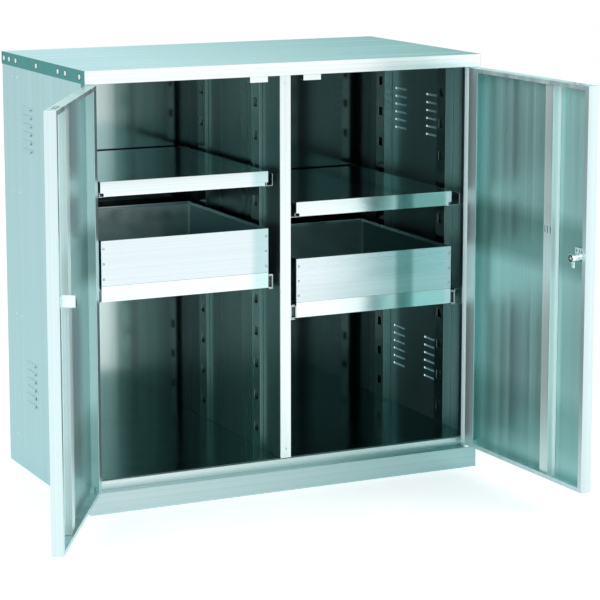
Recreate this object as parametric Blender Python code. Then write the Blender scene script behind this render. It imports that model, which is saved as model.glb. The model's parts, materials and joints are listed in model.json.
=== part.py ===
"""Two-door steel storage cabinet for chemicals, with a shelf and a drawer in each bay.

Units are metres, +Z up, the doors face -Y. The origin is under the middle of the cabinet, on the
surface that it stands on. The doors are shown open and the drawers are shown pushed in.
"""

import math

import bmesh
import bpy
from mathutils import Matrix, Vector

# Overall sizes and sheet
WIDTH = 1.000
DEPTH = 0.565
HEIGHT = 1.008
SHEET = 0.0012
GAP = 0.0003
OVERRUN = 0.004
ROUND_SIDES = 16
SMALL_ROUND_SIDES = 10

# Top cover: a shallow pan with a front lip that returns inwards
LIP_HEIGHT = 0.030
LIP_RETURN = 0.017
TOP_HOLE_RADIUS = 0.0053
TOP_HOLE_DEPTH_SHARES = (0.053, 0.214, 0.299, 0.559, 0.814, 0.899, 0.965)
TOP_HOLE_HEIGHT_SHARE = 0.5

# Base and front frame
PLINTH_HEIGHT = 0.050
FRAME_BACK = 0.027
RAIL_HEIGHT = 0.020
RAIL_FLANGE = 0.018
FLOOR_SETBACK = 0.006
JAMB_WIDTH = 0.026
JAMB_RETURN = 0.015
POST_WIDTH = 0.027
HEADER_FLANGE = 0.031
CROSS_WIDTH = 0.060

# Side walls and their louvres
SIDE_FLANGE = 0.015
LOUVRE_LENGTH = 0.060
LOUVRE_SLOT = 0.0050
LOUVRE_HOOD = 0.0090
LOUVRE_BULGE = 0.0035
LOUVRE_SHEET = 0.0009
LOUVRE_SPACING = 0.0198
LOUVRE_ROWS = 6
LOUVRE_FROM_TOP = 0.117
LOUVRE_LOWER_TOP = 0.277
LOUVRE_FIRST_COLUMN = 0.200
LOUVRE_COLUMN_STEP = 0.163
LOUVRE_COLUMNS = 2
HOOD_STEPS = 4

# Slotted uprights that carry the shelves and slides
UPRIGHT_WIDTH = 0.045
UPRIGHT_DEPTH = 0.022
POST_UPRIGHT_DEPTH = 0.0087
UPRIGHT_MIDDLES = {"front": 0.145, "rear": 0.462}
UPRIGHT_TOP_CLEARANCE = 0.008
SLOT_WIDTH = 0.020
SLOT_HEIGHT = 0.021
SLOT_SPACING = 0.078
SLOT_FIRST = 0.113
TAB_REACH = 0.006
TAB_HEIGHT = 0.010
TAB_THICKNESS = 0.003
TAB_PLAY = 0.001

# Shelves, one slot lower in the right bay, as are the drawers
OUTER_SPACE = 0.025
SLIDE_SPACE = 0.0135
TRAY_FRONT = 0.044
SHELF_DEPTH = 0.500
SHELF_LIP = 0.034
SHELF_OVER_SLOT = 0.017
SHELF_NOTCH = 0.008
SHELF_SLOT = 8
SHELF_LEDGE = 0.012
SHELF_RAIL_SETBACK = 0.004
RIGHT_BAY_DROP = 1

# Drawers: a tray with riveted walls standing on it
TRAY_DEPTH = 0.470
TRAY_LIP = 0.036
TRAY_UNDER_SLOT = 0.023
DRAWER_SLOT = 5
DRAWER_WALL = 0.104
DRAWER_WALL_FLANGE = 0.014

# Telescopic slides in three nested channels
SLIDE_LENGTH = 0.490
MIDDLE_LENGTH = 0.440
SLIDE_SHEET = 0.0012
SLIDE_HEIGHT = 0.035
SLIDE_PLAY = 0.0006
SLIDE_BELOW_TRAY = 0.004
SLIDE_SETBACK = 0.003

# Doors, turning on pins just inside their outer corners
DOOR_SIDE_GAP = 0.002
DOOR_CENTRE_GAP = 0.003
DOOR_FOOT_GAP = 0.006
DOOR_HEAD_GAP = 0.002
DOOR_PROUD = 0.002
DOOR_THICKNESS = 0.026
HINGE_LIP = 0.036
FREE_LIP = 0.014
END_LIP = 0.010
PIVOT_FROM_EDGE = 0.0045
PIVOT_FROM_FACE = 0.0055
LEFT_DOOR_OPEN = math.radians(120)
RIGHT_DOOR_OPEN = math.radians(92)

# Door stiffener: a hat channel with three small slots
HAT_FROM_FREE_EDGE = 0.1875
HAT_WIDTH = 0.047
HAT_FOOT = 0.009
HAT_DEPTH = 0.016
HAT_SLOT_BOTTOM = 0.627
HAT_SLOT_HEIGHT = 0.016
HAT_SLOT_WIDTH_SHARE = 0.14
HAT_SLOT_SHARES = (0.12, 0.48, 0.88)

# Pivots and their bearing blocks
PIN_RADIUS = 0.0025
PIN_REACH = 0.010
COLLAR_RADIUS = 0.0060
PIVOT_PLATE_LENGTH = 0.026
PIVOT_PLATE_WIDTH = 0.013
PIVOT_PLATE_SETBACK = 0.0015
PIVOT_PLATE_EDGE = 0.0035
BLOCK_LENGTH = 0.014
BLOCK_WIDTH = 0.0105
BLOCK_HEIGHT = 0.011

# Ball catches in the door heads and the strikes under the header
CATCH_FROM_FREE_EDGE = 0.0885
CATCH_LENGTH = 0.051
CATCH_WIDTH = 0.010
CATCH_HEIGHT = 0.009
CATCH_SETBACK = 0.008
BALL_RADIUS = 0.0035
BALL_PROUD = 0.0012
STRIKE_FROM_MIDDLE = 0.090
STRIKE_LENGTH = 0.045
STRIKE_HEIGHT = 0.0155
STRIKE_DEPTH = 0.019
STRIKE_CLEARANCE = 0.0006

# Keeper on the left door
KEEPER_BOTTOM = 0.575
KEEPER_HEIGHT = 0.025
KEEPER_FOOT = 0.014
KEEPER_ARM = 0.028
KEEPER_RETURN = 0.014
KEEPER_FROM_POST = 0.0055
KEEPER_SHEET = 0.0012

# Lock on the right door, its cam and its rod
LOCK_FROM_FREE_EDGE = 0.0375
LOCK_LENGTH = 0.0230
LOCK_PLATE_LENGTH = 0.0270
LOCK_BOTTOM = 0.589
LOCK_HEIGHT = 0.025
LOCK_PLATE = 0.0018
BARREL_RADIUS = 0.0095
BARREL_FROM_FREE_EDGE = 0.0245
BARREL_LEVEL = 0.592
BARREL_REACH = 0.010
BARREL_PROUD = 0.004
CAM_THICKNESS = 0.011
BLADE_THICKNESS = 0.003
BLADE_WIDTH = 0.008
BLADE_LENGTH = 0.022
BLADE_SETBACK = 0.002
BLADE_SLOT_PLAY = 0.002
ROD_RADIUS = 0.003
ROD_FROM_FREE_EDGE = 0.0215
ROD_TOP = 0.574
ROD_FROM_FACE = 0.016
GUIDE_WIDTH = 0.012
GUIDE_HEIGHT = 0.012
GUIDE_DEPTH = 0.020
GUIDE_LEVELS = (0.100, 0.540)

# Places worked out from the sizes above
FRONT = -DEPTH / 2
CLOSE = SHEET + GAP
SIDE_FACE = CLOSE
SIDE_INNER = SIDE_FACE + CLOSE
UNDER_TOP = HEIGHT - CLOSE
UPRIGHT_FACE = SIDE_INNER + UPRIGHT_DEPTH
POST_SIDE = WIDTH / 2 - POST_WIDTH / 2
POST_FACE = POST_SIDE - GAP - POST_UPRIGHT_DEPTH
TRAY_OUTER = UPRIGHT_FACE + OUTER_SPACE
TRAY_INNER = POST_FACE - SLIDE_SPACE
SIDE_BACK = DEPTH - CLOSE
BACK_FACE = SIDE_BACK - CLOSE
BACK_INNER = BACK_FACE - CLOSE
RAIL_BOTTOM = PLINTH_HEIGHT + GAP
RAIL_TOP = PLINTH_HEIGHT + RAIL_HEIGHT
FLOOR_BOTTOM = RAIL_TOP + GAP
FLOOR_TOP = FLOOR_BOTTOM + SHEET
LIP_BOTTOM = HEIGHT - LIP_HEIGHT
DOOR_BOTTOM = PLINTH_HEIGHT + DOOR_FOOT_GAP
DOOR_TOP = LIP_BOTTOM - DOOR_HEAD_GAP
DOOR_WIDTH = WIDTH / 2 - DOOR_SIDE_GAP - DOOR_CENTRE_GAP / 2
HAT_START = DOOR_WIDTH - HAT_FROM_FREE_EDGE
CATCH_START = DOOR_WIDTH - CATCH_FROM_FREE_EDGE
LOCK_START = DOOR_WIDTH - LOCK_FROM_FREE_EDGE
BARREL_START = DOOR_WIDTH - BARREL_FROM_FREE_EDGE
ROD_START = DOOR_WIDTH - ROD_FROM_FREE_EDGE
STRIKE_START = WIDTH / 2 - STRIKE_FROM_MIDDLE
LOUVRE_TOPS = (HEIGHT - LOUVRE_FROM_TOP, LOUVRE_LOWER_TOP)
SLOT_COUNT = 1 + int((LIP_BOTTOM - SLOT_HEIGHT - SLOT_FIRST) / SLOT_SPACING)
PIVOT_SIDE = DOOR_SIDE_GAP + PIVOT_FROM_EDGE
PIVOT_BACK = PIVOT_FROM_FACE - DOOR_PROUD
SLIDE_THICKNESS = SLIDE_SPACE - 2 * GAP
LEFT = -1
RIGHT = 1

# Finishes: base colour, metallic, roughness
FINISHES = {
    "brushed": ((0.60, 0.72, 0.72, 1.0), 1.0, 0.30),
    "bright": ((0.86, 0.92, 0.92, 1.0), 1.0, 0.18),
    "teal": ((0.30, 0.50, 0.49, 1.0), 1.0, 0.38),
    "zinc": ((0.70, 0.75, 0.75, 1.0), 1.0, 0.28),
    "black": ((0.02, 0.025, 0.025, 1.0), 0.0, 0.45),
    "white": ((0.90, 0.93, 0.93, 1.0), 0.0, 0.40),
}


def clear_scene():
    for obj in list(bpy.data.objects):
        bpy.data.objects.remove(obj, do_unlink=True)


def collection(name, hidden=False):
    made = bpy.data.collections.new(name)
    made.hide_render = hidden
    bpy.context.scene.collection.children.link(made)
    return made


def finish_material(name, finish):
    colour, metallic, roughness = FINISHES[finish]
    material = bpy.data.materials.new(name)
    material.use_nodes = True
    shader = material.node_tree.nodes["Principled BSDF"]
    shader.inputs["Base Color"].default_value = colour
    shader.inputs["Metallic"].default_value = metallic
    shader.inputs["Roughness"].default_value = roughness
    return material


def add_box(shape, low, high):
    """Adds a box between two corners, given in any order along each axis."""
    corners = [sorted(pair) for pair in zip(low, high)]
    middle = Vector((first + last) / 2 for first, last in corners)
    size = [last - first for first, last in corners]
    bmesh.ops.create_cube(shape, size=1, matrix=Matrix.Translation(middle) @ Matrix.Diagonal((*size, 1)))


def add_cylinder(shape, middle, axis, radius, length, sides=ROUND_SIDES):
    turn = Vector((0, 0, 1)).rotation_difference(Vector(axis)).to_matrix().to_4x4()
    bmesh.ops.create_cone(
        shape,
        cap_ends=True,
        segments=sides,
        radius1=radius,
        radius2=radius,
        depth=length,
        matrix=Matrix.Translation(middle) @ turn,
    )


def put(shape, name, finish, parent=None, smooth=False):
    """Turns a finished bmesh into a named sub-part."""
    mesh = bpy.data.meshes.new(name)
    shape.to_mesh(mesh)
    shape.free()
    if smooth:
        mesh.shade_smooth()
        mesh.set_sharp_from_angle(angle=math.radians(40))
    obj = bpy.data.objects.new(name, mesh)
    obj.data.materials.append(finish_material(name, finish))
    obj.parent = parent
    PARTS.objects.link(obj)
    return obj


def change(obj, shape, operation="DIFFERENCE"):
    """Cuts a bmesh from a sub-part or joins it on. The cutter stays as a hidden helper."""
    name = f"{obj.name}_{operation.lower()}_{len(obj.modifiers)}"
    mesh = bpy.data.meshes.new(name)
    shape.to_mesh(mesh)
    shape.free()
    cutter = bpy.data.objects.new(name, mesh)
    cutter.parent = obj.parent
    cutter.hide_render = True
    cutter.display_type = "WIRE"
    CUTTERS.objects.link(cutter)
    boolean = obj.modifiers.new(name, "BOOLEAN")
    boolean.operation = operation
    boolean.object = cutter
    boolean.solver = "EXACT"


def folded(path, thickness):
    """Outline of a folded strip: the path is one face, and the sheet lies to its left."""
    points = [Vector(point) for point in path]
    normals = []
    for here, ahead in zip(points, points[1:]):
        along = (ahead - here).normalized()
        normals.append(Vector((-along.y, along.x)))
    other = []
    for index, point in enumerate(points):
        before = normals[max(index - 1, 0)]
        after = normals[min(index, len(normals) - 1)]
        mitre = (before + after).normalized()
        other.append(point + mitre * (thickness / mitre.dot(after)))
    return points + other[::-1]


# Each plane's third axis is the way that an outline drawn in it is extruded
PLANES = {
    "XY": Matrix.Identity(4),
    "YZ": Matrix(((0, 0, 1, 0), (1, 0, 0, 0), (0, 1, 0, 0), (0, 0, 0, 1))),
    "XZ": Matrix(((1, 0, 0, 0), (0, 0, -1, 0), (0, 1, 0, 0), (0, 0, 0, 1))),
}
ALONG = {"XY": Vector((0, 0, 1)), "YZ": Vector((1, 0, 0)), "XZ": Vector((0, 1, 0))}


def add_section(shape, outline, start, end, plane):
    """Adds a flat outline extruded from start to end across its plane."""
    curve = bpy.data.curves.new("outline", "CURVE")
    curve.dimensions = "2D"
    curve.fill_mode = "BOTH"
    curve.extrude = abs(end - start) / 2
    spline = curve.splines.new("POLY")
    spline.points.add(len(outline) - 1)
    for point, place in zip(spline.points, outline):
        point.co = (place[0], place[1], 0, 1)
    spline.use_cyclic_u = True
    helper = bpy.data.objects.new("outline", curve)
    CUTTERS.objects.link(helper)
    helper_graph = bpy.context.evaluated_depsgraph_get()
    mesh = bpy.data.meshes.new_from_object(helper.evaluated_get(helper_graph))
    mesh.transform(Matrix.Translation(ALONG[plane] * (start + end) / 2) @ PLANES[plane])
    bpy.data.objects.remove(helper)
    piece = bmesh.new()
    piece.from_mesh(mesh)
    bmesh.ops.remove_doubles(piece, verts=piece.verts, dist=GAP / ROUND_SIDES)
    bmesh.ops.recalc_face_normals(piece, faces=piece.faces)
    piece.to_mesh(mesh)
    piece.free()
    shape.from_mesh(mesh)
    bpy.data.meshes.remove(mesh)
    bpy.data.curves.remove(curve)


def across(side, inwards):
    """World x of a place this far in from the cabinet's own side."""
    return side * (WIDTH / 2 - inwards)


def back(distance):
    """World y of a place this far behind the front lip."""
    return FRONT + distance


def drop(side):
    """How much lower this bay's shelf and drawer hang than the left bay's."""
    return RIGHT_BAY_DROP * SLOT_SPACING if side == RIGHT else 0


def slot_bottom(index, side):
    return SLOT_FIRST + index * SLOT_SPACING - drop(side)


def make_top():
    shape = bmesh.new()
    add_box(shape, (-WIDTH / 2, FRONT, LIP_BOTTOM), (WIDTH / 2, -FRONT, HEIGHT))
    top = put(shape, "top_panel", "brushed")
    hollow = bmesh.new()
    inner_x = WIDTH / 2 - SHEET
    add_box(hollow, (-inner_x, FRONT + SHEET, LIP_BOTTOM + SHEET), (inner_x, -FRONT - SHEET, HEIGHT - SHEET))
    change(top, hollow)
    mouth = bmesh.new()
    low = (-inner_x, back(LIP_RETURN), LIP_BOTTOM - OVERRUN)
    add_box(mouth, low, (inner_x, -FRONT - SHEET, LIP_BOTTOM + SHEET + OVERRUN))
    change(top, mouth)

    holes = bmesh.new()
    level = LIP_BOTTOM + LIP_HEIGHT * TOP_HOLE_HEIGHT_SHARE
    for side in (LEFT, RIGHT):
        for share in TOP_HOLE_DEPTH_SHARES:
            middle = (across(side, SHEET / 2), back(DEPTH * share), level)
            add_cylinder(holes, middle, (1, 0, 0), TOP_HOLE_RADIUS, SHEET + OVERRUN)
    change(top, holes)


def hood_outline(side, top):
    """Half-round hood over a louvre slot, drawn in x and z."""
    face = across(side, SIDE_FACE)
    outer = []
    inner = []
    for step in range(HOOD_STEPS + 1):
        turn = math.pi / 2 * step / HOOD_STEPS
        outer.append((face + side * LOUVRE_BULGE * math.sin(turn), top - LOUVRE_HOOD * (1 - math.cos(turn))))
        reach = (LOUVRE_BULGE - LOUVRE_SHEET) * math.sin(turn)
        fall = LOUVRE_HOOD - (LOUVRE_HOOD - LOUVRE_SHEET) * math.cos(turn)
        inner.append((face + side * reach, top - fall))
    root = face - side * SHEET / 2
    return [(root, outer[0][1]), *outer, *inner[::-1], (root, inner[0][1])]


def make_side(side, name):
    path = [
        (across(side, SIDE_FACE), back(FRAME_BACK)),
        (across(side, SIDE_FACE), back(SIDE_BACK)),
        (across(side, SIDE_FACE + SIDE_FLANGE), back(SIDE_BACK)),
    ]
    shape = bmesh.new()
    add_section(shape, folded(path, side * SHEET), 0, UNDER_TOP, "XY")
    panel = put(shape, f"{name}_side_panel", "brushed")
    hoods = bmesh.new()
    slots = bmesh.new()
    for group_top in LOUVRE_TOPS:
        for column in range(LOUVRE_COLUMNS):
            start = back(LOUVRE_FIRST_COLUMN + column * LOUVRE_COLUMN_STEP)
            for row in range(LOUVRE_ROWS):
                top = group_top - row * LOUVRE_SPACING
                add_section(hoods, hood_outline(side, top), start, start + LOUVRE_LENGTH, "XZ")
                low = (across(side, SIDE_FACE - OVERRUN), start, top - LOUVRE_SHEET - LOUVRE_SLOT)
                high = (across(side, SIDE_INNER + OVERRUN), start + LOUVRE_LENGTH, top - LOUVRE_SHEET)
                add_box(slots, low, high)
    change(panel, slots)
    change(panel, hoods, "UNION")


def make_back():
    shape = bmesh.new()
    inner_x = WIDTH / 2 - SIDE_INNER
    add_box(shape, (-inner_x, back(BACK_FACE - SHEET), 0), (inner_x, back(BACK_FACE), UNDER_TOP))
    put(shape, "back_panel", "brushed")


def make_jamb(side, name):
    path = [
        (across(side, SIDE_INNER), back(FRAME_BACK + JAMB_RETURN)),
        (across(side, SIDE_INNER), back(FRAME_BACK)),
        (across(side, JAMB_WIDTH), back(FRAME_BACK)),
        (across(side, JAMB_WIDTH), back(FRAME_BACK + JAMB_RETURN)),
    ]
    shape = bmesh.new()
    add_section(shape, folded(path, -side * SHEET), 0, UNDER_TOP, "XY")
    put(shape, f"{name}_jamb", "bright")


def make_divider():
    path = [
        (-POST_WIDTH / 2, back(BACK_INNER)),
        (-POST_WIDTH / 2, back(FRAME_BACK)),
        (POST_WIDTH / 2, back(FRAME_BACK)),
        (POST_WIDTH / 2, back(BACK_INNER)),
    ]
    shape = bmesh.new()
    add_section(shape, folded(path, SHEET), FLOOR_TOP + GAP, UNDER_TOP, "XY")
    divider = put(shape, "divider", "bright")
    slot = bmesh.new()
    half = BLADE_WIDTH / 2 + BLADE_SLOT_PLAY
    start = DOOR_THICKNESS - DOOR_PROUD + LOCK_PLATE + GAP + BARREL_REACH + GAP + BLADE_SETBACK
    low = (POST_WIDTH / 2 - SHEET - OVERRUN, back(start - BLADE_SLOT_PLAY), BARREL_LEVEL - half)
    high_y = back(start + BLADE_THICKNESS + BLADE_SLOT_PLAY)
    add_box(slot, low, (POST_WIDTH / 2 + OVERRUN, high_y, BARREL_LEVEL + half))
    change(divider, slot)
    notch = bmesh.new()
    low = (-POST_WIDTH, back(FRAME_BACK + CLOSE - GAP), LIP_BOTTOM - GAP)
    high = (POST_WIDTH, back(FRAME_BACK + CLOSE + HEADER_FLANGE + GAP), HEIGHT)
    add_box(notch, low, high)
    change(divider, notch)


def make_base():
    """Plinth, front rail, floor, and the channel under the floor."""
    plinth = bmesh.new()
    add_box(plinth, (-WIDTH / 2, FRONT, 0), (WIDTH / 2, back(FRAME_BACK - GAP), PLINTH_HEIGHT))
    front = put(plinth, "plinth_front", "bright")
    hollow = bmesh.new()
    high = (WIDTH / 2 - SHEET, back(FRAME_BACK + OVERRUN), PLINTH_HEIGHT - SHEET)
    add_box(hollow, (-WIDTH / 2 + SHEET, FRONT + SHEET, SHEET), high)
    change(front, hollow)
    socket = bmesh.new()
    socket_x = across(RIGHT, DOOR_SIDE_GAP + ROD_START)
    middle = (socket_x, back(ROD_FROM_FACE - DOOR_PROUD), PLINTH_HEIGHT)
    add_cylinder(socket, middle, (0, 0, 1), ROD_RADIUS + SLIDE_PLAY, 2 * OVERRUN)
    change(front, socket)

    path = [
        (back(FRAME_BACK + RAIL_FLANGE), RAIL_BOTTOM),
        (back(FRAME_BACK), RAIL_BOTTOM),
        (back(FRAME_BACK), RAIL_TOP),
        (back(FRAME_BACK + RAIL_FLANGE), RAIL_TOP),
    ]
    rail = bmesh.new()
    rail_x = WIDTH / 2 - JAMB_WIDTH - GAP
    add_section(rail, folded(path, -SHEET), -rail_x, rail_x, "YZ")
    put(rail, "bottom_rail", "bright")

    inner_x = WIDTH / 2 - SIDE_INNER
    notch_back = back(FRAME_BACK + JAMB_RETURN + GAP)
    outline = [
        (-rail_x, back(FRAME_BACK + FLOOR_SETBACK)),
        (rail_x, back(FRAME_BACK + FLOOR_SETBACK)),
        (rail_x, notch_back),
        (inner_x, notch_back),
        (inner_x, back(BACK_INNER)),
        (-inner_x, back(BACK_INNER)),
        (-inner_x, notch_back),
        (-rail_x, notch_back),
    ]
    floor = bmesh.new()
    add_section(floor, outline, FLOOR_BOTTOM, FLOOR_TOP, "XY")
    put(floor, "floor_panel", "teal")

    near = back(DEPTH / 2 - CROSS_WIDTH / 2)
    far = back(DEPTH / 2 + CROSS_WIDTH / 2)
    path = [(far, RAIL_TOP), (far, 0), (near, 0), (near, RAIL_TOP)]
    channel = bmesh.new()
    add_section(channel, folded(path, -SHEET), -inner_x, inner_x, "YZ")
    put(channel, "base_crossmember", "zinc")


def make_header():
    """Hidden angle behind the front lip, which carries the two strikes."""
    front = FRAME_BACK + CLOSE
    path = [
        (back(front), UNDER_TOP),
        (back(front), LIP_BOTTOM),
        (back(front + HEADER_FLANGE), LIP_BOTTOM),
    ]
    end = WIDTH / 2 - JAMB_WIDTH - GAP
    shape = bmesh.new()
    add_section(shape, folded(path, SHEET), -end, end, "YZ")
    put(shape, "header_rail", "brushed")


def make_strike(side, name):
    """Bent bracket under the header that the closed door meets."""
    near = back(DOOR_THICKNESS - DOOR_PROUD + STRIKE_CLEARANCE)
    far = near + STRIKE_DEPTH
    top = LIP_BOTTOM - GAP
    path = [(far, top), (near, top), (near, top - STRIKE_HEIGHT), (far, top - STRIKE_HEIGHT)]
    shape = bmesh.new()
    start = across(side, STRIKE_START)
    add_section(shape, folded(path, SHEET), start, across(side, STRIKE_START + STRIKE_LENGTH), "YZ")
    put(shape, f"{name}_catch_strike", "white")


def make_uprights(side, name):
    """Four slotted channels of a bay: front and rear, on the side wall and on the divider."""
    walls = {"outer": (SIDE_INNER, UPRIGHT_FACE, side), "inner": (POST_SIDE - GAP, POST_FACE, -side)}
    for wall_name, (wall, face, turn) in walls.items():
        for place, middle in UPRIGHT_MIDDLES.items():
            near = back(middle - UPRIGHT_WIDTH / 2)
            far = back(middle + UPRIGHT_WIDTH / 2)
            path = [
                (across(side, wall), near),
                (across(side, face), near),
                (across(side, face), far),
                (across(side, wall), far),
            ]
            shape = bmesh.new()
            top = HEIGHT - UPRIGHT_TOP_CLEARANCE
            add_section(shape, folded(path, -turn * SHEET), FLOOR_TOP + GAP, top, "XY")
            upright = put(shape, f"{name}_{wall_name}_{place}_upright", "brushed")
            slots = bmesh.new()
            for index in range(SLOT_COUNT):
                bottom = slot_bottom(index, LEFT)
                low = (across(side, face - CLOSE), back(middle - SLOT_WIDTH / 2), bottom)
                high = (across(side, face + CLOSE), back(middle + SLOT_WIDTH / 2), bottom + SLOT_HEIGHT)
                add_box(slots, low, high)
            change(upright, slots)


def tab_boxes(side, inside, outside, bottom, top):
    """Hooks that reach from a rail into the slots of both uprights of a wall."""
    tabs = bmesh.new()
    for middle in UPRIGHT_MIDDLES.values():
        half = SLOT_WIDTH / 2 - TAB_PLAY
        low = (across(side, inside), back(middle - half), bottom)
        add_box(tabs, low, (across(side, outside), back(middle + half), top))
    return tabs


def make_shelf(side, name):
    bottom_slot = slot_bottom(SHELF_SLOT, side)
    top = bottom_slot + SHELF_OVER_SLOT
    bottom = top - SHELF_LIP
    near = back(TRAY_FRONT)
    far = back(TRAY_FRONT + SHELF_DEPTH)
    shape = bmesh.new()
    add_box(shape, (across(side, TRAY_OUTER), near, bottom), (across(side, TRAY_INNER), far, top))
    shelf = put(shape, f"{name}_shelf", "bright")
    hollow = bmesh.new()
    low = (across(side, TRAY_OUTER + SHEET), near + SHEET, bottom - OVERRUN)
    add_box(hollow, low, (across(side, TRAY_INNER - SHEET), far - SHEET, top - SHEET))
    change(shelf, hollow)
    notches = bmesh.new()
    for edge, way in ((TRAY_OUTER, 1), (TRAY_INNER, -1)):
        low = (across(side, edge - way * OVERRUN), near - OVERRUN, bottom - OVERRUN)
        high = (across(side, edge + way * SHELF_NOTCH), near + SHELF_NOTCH, bottom + SHELF_NOTCH)
        add_box(notches, low, high)
    change(shelf, notches)

    ledge_top = bottom - GAP
    web_top = bottom_slot + TAB_HEIGHT
    ends = (near + SHELF_RAIL_SETBACK, far)
    tab_bottom = bottom_slot + GAP
    walls = {
        "outer": (UPRIGHT_FACE + GAP, TRAY_OUTER + SHELF_LEDGE, side, SHEET, -TAB_REACH),
        "inner": (POST_FACE - GAP, TRAY_INNER - SHELF_LEDGE, -side, -SHEET, TAB_REACH),
    }
    for wall_name, (wall, ledge, turn, inside, reach) in walls.items():
        path = [
            (across(side, wall), web_top),
            (across(side, wall), ledge_top - SHEET),
            (across(side, ledge), ledge_top - SHEET),
        ]
        rail = bmesh.new()
        add_section(rail, folded(path, -turn * SHEET), *ends, "XZ")
        obj = put(rail, f"{name}_{wall_name}_shelf_rail", "zinc")
        change(obj, tab_boxes(side, wall + inside, wall + reach, tab_bottom, web_top), "UNION")


def slide_path(kind, base):
    """Section of one slide channel as distance from the drawer's side, and height."""
    step = SLIDE_SHEET + SLIDE_PLAY
    low = base
    high = base + SLIDE_HEIGHT
    if kind == "fixed":
        back_wall = SLIDE_THICKNESS
        tip = SLIDE_SHEET + GAP
    elif kind == "middle":
        low, high = low + step, high - step
        back_wall = SLIDE_THICKNESS - step
        tip = 2 * step - SLIDE_PLAY
    else:
        low, high = low + 2 * step, high - 2 * step
        back_wall = 0
        tip = SLIDE_THICKNESS - step - SLIDE_SHEET - SLIDE_PLAY
    return [(tip, low), (back_wall, low), (back_wall, high), (tip, high)]


SLIDE_WALLS = {"outer": (TRAY_OUTER, -1), "inner": (TRAY_INNER, 1)}


def slide_section(side, wall_name, kind, base, origin_x=0):
    """Outline in x and z of one channel on one wall of the bay."""
    edge, way = SLIDE_WALLS[wall_name]
    path = []
    for distance, level in slide_path(kind, base):
        path.append((across(side, edge + way * (GAP + distance)) - origin_x, level))
    turn = side * way if kind == "drawer" else -side * way
    return folded(path, turn * SLIDE_SHEET)


def make_slides(side, name):
    """Fixed channels hooked into the uprights, and the middle channels that run in them."""
    bottom_slot = slot_bottom(DRAWER_SLOT, side)
    base = bottom_slot - TRAY_UNDER_SLOT - SLIDE_BELOW_TRAY
    start = back(TRAY_FRONT + SLIDE_SETBACK)
    fixed = {}
    for wall_name in SLIDE_WALLS:
        shape = bmesh.new()
        add_section(shape, slide_section(side, wall_name, "fixed", base), start, start + SLIDE_LENGTH, "XZ")
        fixed[wall_name] = put(shape, f"{name}_{wall_name}_fixed_slide", "zinc")
    tab_top = base + SLIDE_HEIGHT - SLIDE_SHEET
    web = POST_FACE - GAP - SLIDE_SHEET / 2
    tabs = tab_boxes(side, web, POST_FACE + TAB_REACH, bottom_slot + GAP, tab_top)
    change(fixed["inner"], tabs, "UNION")

    spacer_side = TRAY_OUTER - GAP - SLIDE_THICKNESS + SLIDE_SHEET / 2
    top = bottom_slot + TAB_HEIGHT
    spacer = bmesh.new()
    path = [
        (across(side, UPRIGHT_FACE + GAP), base + SLIDE_SHEET / 2),
        (across(side, spacer_side), base + SLIDE_SHEET / 2),
        (across(side, spacer_side), top),
        (across(side, UPRIGHT_FACE + GAP), top),
    ]
    add_section(spacer, folded(path, -side * SHEET), start, start + SLIDE_LENGTH, "XZ")
    change(fixed["outer"], spacer, "UNION")
    tabs = tab_boxes(side, spacer_side - SHEET, UPRIGHT_FACE - TAB_REACH, top - TAB_THICKNESS, top - GAP)
    change(fixed["outer"], tabs, "UNION")

    carrier = empty(f"{name}_middle_slide_axis", (side * WIDTH / 4, start, base))
    for wall_name in SLIDE_WALLS:
        shape = bmesh.new()
        add_section(shape, slide_section(side, wall_name, "middle", 0, side * WIDTH / 4), 0, MIDDLE_LENGTH, "XZ")
        put(shape, f"{name}_{wall_name}_middle_slide", "zinc", carrier)


def empty(name, place, turn=0):
    made = bpy.data.objects.new(name, None)
    made.location = place
    made.rotation_euler = (0, 0, turn)
    PARTS.objects.link(made)
    return made


def make_drawer(side, name):
    """Tray, walls and the channels that ride with them, drawn from the tray's front middle."""
    bottom = slot_bottom(DRAWER_SLOT, side) - TRAY_UNDER_SLOT
    middle_x = (across(side, TRAY_OUTER) + across(side, TRAY_INNER)) / 2
    carrier = empty(f"{name}_drawer_axis", (middle_x, back(TRAY_FRONT), bottom))
    half = (TRAY_INNER - TRAY_OUTER) / 2

    shape = bmesh.new()
    add_box(shape, (-half, 0, 0), (half, TRAY_DEPTH, TRAY_LIP))
    tray = put(shape, f"{name}_drawer_tray", "bright", carrier)
    hollow = bmesh.new()
    add_box(hollow, (-half + SHEET, SHEET, -OVERRUN), (half - SHEET, TRAY_DEPTH - SHEET, TRAY_LIP - SHEET))
    change(tray, hollow)

    wall_bottom = TRAY_LIP + GAP
    wall_top = TRAY_LIP + DRAWER_WALL
    plate = bmesh.new()
    add_box(plate, (-half, 0, wall_bottom), (half, SHEET, wall_top))
    put(plate, f"{name}_drawer_front", "bright", carrier)
    path = [
        (-half + DRAWER_WALL_FLANGE, CLOSE),
        (-half, CLOSE),
        (-half, TRAY_DEPTH),
        (half, TRAY_DEPTH),
        (half, CLOSE),
        (half - DRAWER_WALL_FLANGE, CLOSE),
    ]
    walls = bmesh.new()
    add_section(walls, folded(path, -SHEET), wall_bottom, wall_top, "XY")
    put(walls, f"{name}_drawer_walls", "brushed", carrier)

    for wall_name in SLIDE_WALLS:
        channel = bmesh.new()
        outline = slide_section(side, wall_name, "drawer", -SLIDE_BELOW_TRAY, middle_x)
        add_section(channel, outline, SLIDE_SETBACK, TRAY_DEPTH - SLIDE_SETBACK, "XZ")
        put(channel, f"{name}_{wall_name}_drawer_slide", "zinc", carrier)


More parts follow.
